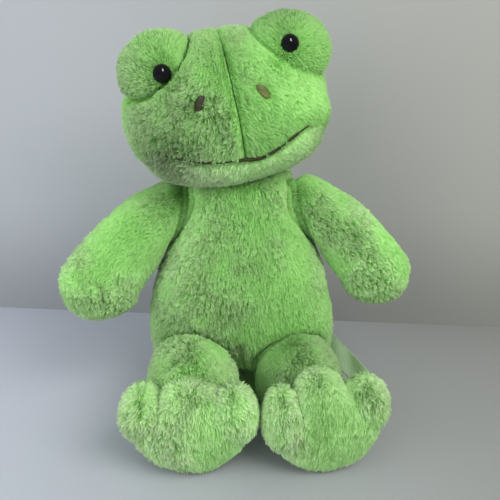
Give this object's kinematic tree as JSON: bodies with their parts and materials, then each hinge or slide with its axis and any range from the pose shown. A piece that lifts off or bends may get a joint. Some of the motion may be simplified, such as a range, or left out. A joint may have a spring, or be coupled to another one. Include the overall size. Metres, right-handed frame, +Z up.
{
  "type": "plush frog",
  "caption": "Seated plush frog of short green pile with raised eye mounds, glossy domed eyes, a stitched smile and toed feet; head, arms, legs and feet bend at their seams.",
  "frame": {"origin": "middle of the base of the bounding box, on the surface it sits on", "axes": "+Z up, the face and the soles towards -Y, the frog's left towards +X"},
  "size_m": [0.31, 0.2002, 0.3482],
  "materials": {
    "green_pile": "short plush pile, lighter at the tips",
    "light_pile": "short plush pile, lighter at the tips",
    "filling": "loose white polyester fibre",
    "black_eye": "polished black",
    "eye_washer": "plain moulded",
    "brown_thread": "embroidery thread",
    "satin": "woven satin ribbon"
  },
  "bodies": {
    "torso": {"torso_front_panel": "green_pile", "torso_back_panel": "green_pile", "torso_filling": "filling", "satin_label": "satin"},
    "neck": {"neck_filling": "filling"},
    "head": {"head_back_panel": "green_pile", "chin_panel": "light_pile", "left_face_panel": "green_pile", "right_face_panel": "green_pile", "head_filling": "filling", "left_eye_mound_panel": "light_pile", "right_eye_mound_panel": "light_pile", "left_eye": "black_eye", "right_eye": "black_eye", "left_eye_washer": "eye_washer", "right_eye_washer": "eye_washer", "left_nostril_embroidery": "brown_thread", "right_nostril_embroidery": "brown_thread", "mouth_embroidery": "brown_thread"},
    "left_arm": {"left_arm_front_panel": "green_pile", "left_arm_back_panel": "green_pile", "left_arm_filling": "filling"},
    "right_arm": {"right_arm_front_panel": "green_pile", "right_arm_back_panel": "green_pile", "right_arm_filling": "filling"},
    "left_leg": {"left_leg_tube": "green_pile", "left_leg_filling": "filling"},
    "right_leg": {"right_leg_tube": "green_pile", "right_leg_filling": "filling"},
    "left_foot": {"left_foot_sole_panel": "light_pile", "left_foot_upper_panel": "green_pile", "left_foot_filling": "filling"},
    "right_foot": {"right_foot_sole_panel": "light_pile", "right_foot_upper_panel": "green_pile", "right_foot_filling": "filling"}
  },
  "joints": [
    {"name": "head_turn", "type": "hinge", "parent": "torso", "child": "neck", "pos_m": [-0.00043, 0.04533, 0.222], "axis": [0, 0, 1], "range_deg": [-25, 25]},
    {"name": "head_tilt", "type": "hinge", "parent": "neck", "child": "head", "pos_m": [-0.00043, 0.04533, 0.222], "axis": [-0.1132, 0.9936, 0], "range_deg": [-1, 21]},
    {"name": "left_arm_swing", "type": "hinge", "parent": "torso", "child": "left_arm", "pos_m": [0.04957, 0.04133, 0.191], "axis": [-0.866, 0, -0.5], "range_deg": [-15, 36]},
    {"name": "right_arm_swing", "type": "hinge", "parent": "torso", "child": "right_arm", "pos_m": [-0.05043, 0.04133, 0.191], "axis": [-0.866, 0, 0.5], "range_deg": [-15, 36]},
    {"name": "left_hip_lift", "type": "hinge", "parent": "torso", "child": "left_leg", "pos_m": [0.04307, 0.00533, 0.0435], "axis": [-1, 0, 0], "range_deg": [-15, 20]},
    {"name": "right_hip_lift", "type": "hinge", "parent": "torso", "child": "right_leg", "pos_m": [-0.04393, 0.00533, 0.0435], "axis": [-1, 0, 0], "range_deg": [-15, 20]},
    {"name": "left_ankle_bend", "type": "hinge", "parent": "left_leg", "child": "left_foot", "pos_m": [0.06427, -0.05293, 0.0435], "axis": [-1, 0, 0], "range_deg": [-12, 15]},
    {"name": "right_ankle_bend", "type": "hinge", "parent": "right_leg", "child": "right_foot", "pos_m": [-0.03745, -0.05633, 0.0435], "axis": [-1, 0, 0], "range_deg": [-12, 15]}
  ]
}
